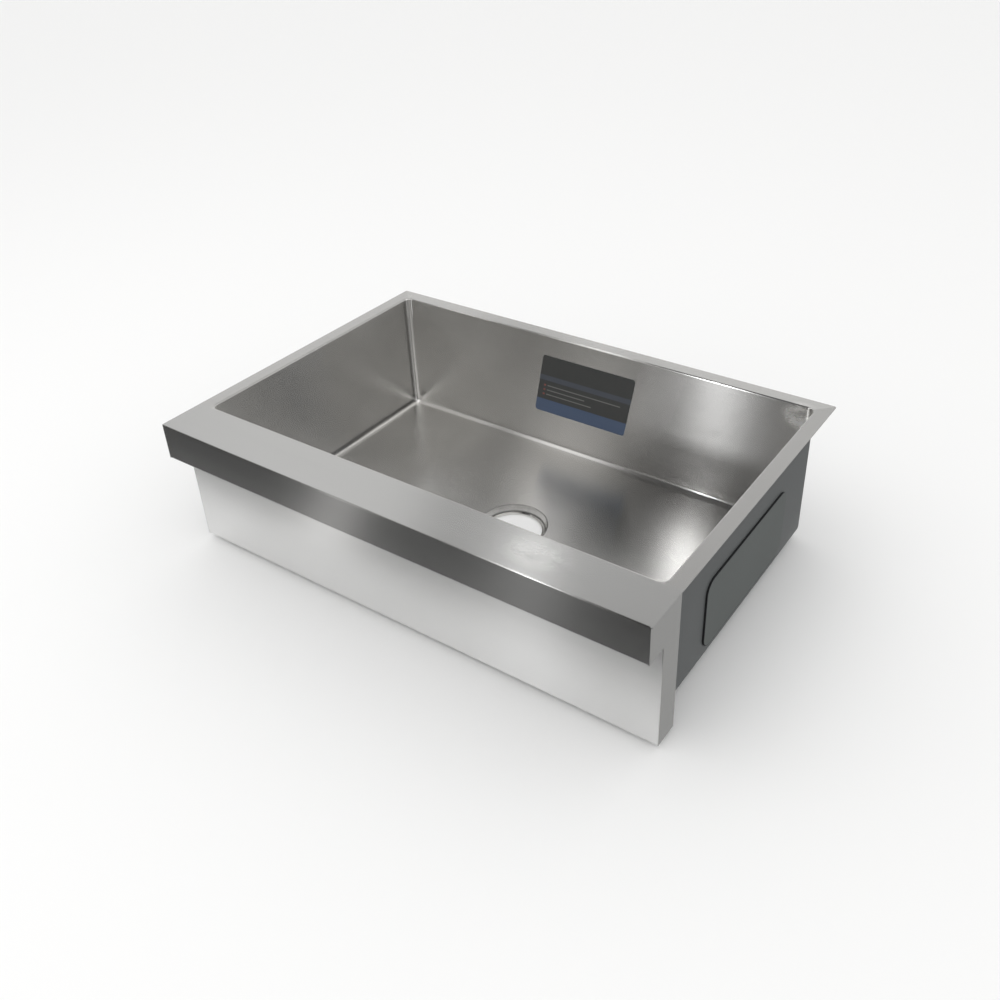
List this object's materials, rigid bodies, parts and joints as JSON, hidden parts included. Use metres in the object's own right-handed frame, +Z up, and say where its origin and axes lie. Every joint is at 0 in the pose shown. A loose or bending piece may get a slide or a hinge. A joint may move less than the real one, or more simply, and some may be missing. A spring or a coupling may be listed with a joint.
{
  "type": "farmhouse apron front sink",
  "caption": "Stainless steel kitchen sink with a rectangular bowl, flat rims, a deep boxed front ledge over a set-back apron, and a recessed round outlet in the floor.",
  "frame": {"origin": "centre of the footprint (ledge face to back rim, side rim to side rim), at the lowest point, the lip under the outlet", "axes": "+X to the right as seen from the front, along the ledge; +Y from the apron to the back rim; +Z up"},
  "size_m": [0.8, 0.55, 0.225],
  "materials": {
    "bowl_steel": "satin brushed stainless steel",
    "ledge_steel": "satin brushed stainless steel, grain along the ledge",
    "apron_steel": "satin brushed stainless steel, upright grain",
    "end_cap_steel": "fine brushed stainless steel",
    "galvanised_steel": "dull zinc-coated folded sheet",
    "grey_coating": "satin sprayed anti-condensation coating",
    "sound_pad": "rubber sheet, sprayed over on its face",
    "label_card": "printed charcoal label with slate bands"
  },
  "bodies": {
    "root": {"bowl_floor": "bowl_steel", "back_bend": "bowl_steel", "front_bend": "bowl_steel", "left_bend": "bowl_steel", "right_bend": "bowl_steel", "bowl_back_wall": "bowl_steel", "bowl_front_wall": "bowl_steel", "bowl_left_wall": "bowl_steel", "bowl_right_wall": "bowl_steel", "front_ledge": "ledge_steel", "apron_panel": "apron_steel", "left_end_cap": "end_cap_steel", "right_end_cap": "end_cap_steel", "ledge_stiffener": "galvanised_steel", "left_apron_rib": "galvanised_steel", "centre_apron_rib": "galvanised_steel", "right_apron_rib": "galvanised_steel", "base_coating": "grey_coating", "back_coating": "grey_coating", "left_coating": "grey_coating", "right_coating": "grey_coating", "left_sound_pad": "sound_pad", "right_sound_pad": "sound_pad", "back_sound_pad": "sound_pad", "left_base_pad": "sound_pad", "right_base_pad": "sound_pad", "info_label": "label_card"}
  },
  "joints": []
}
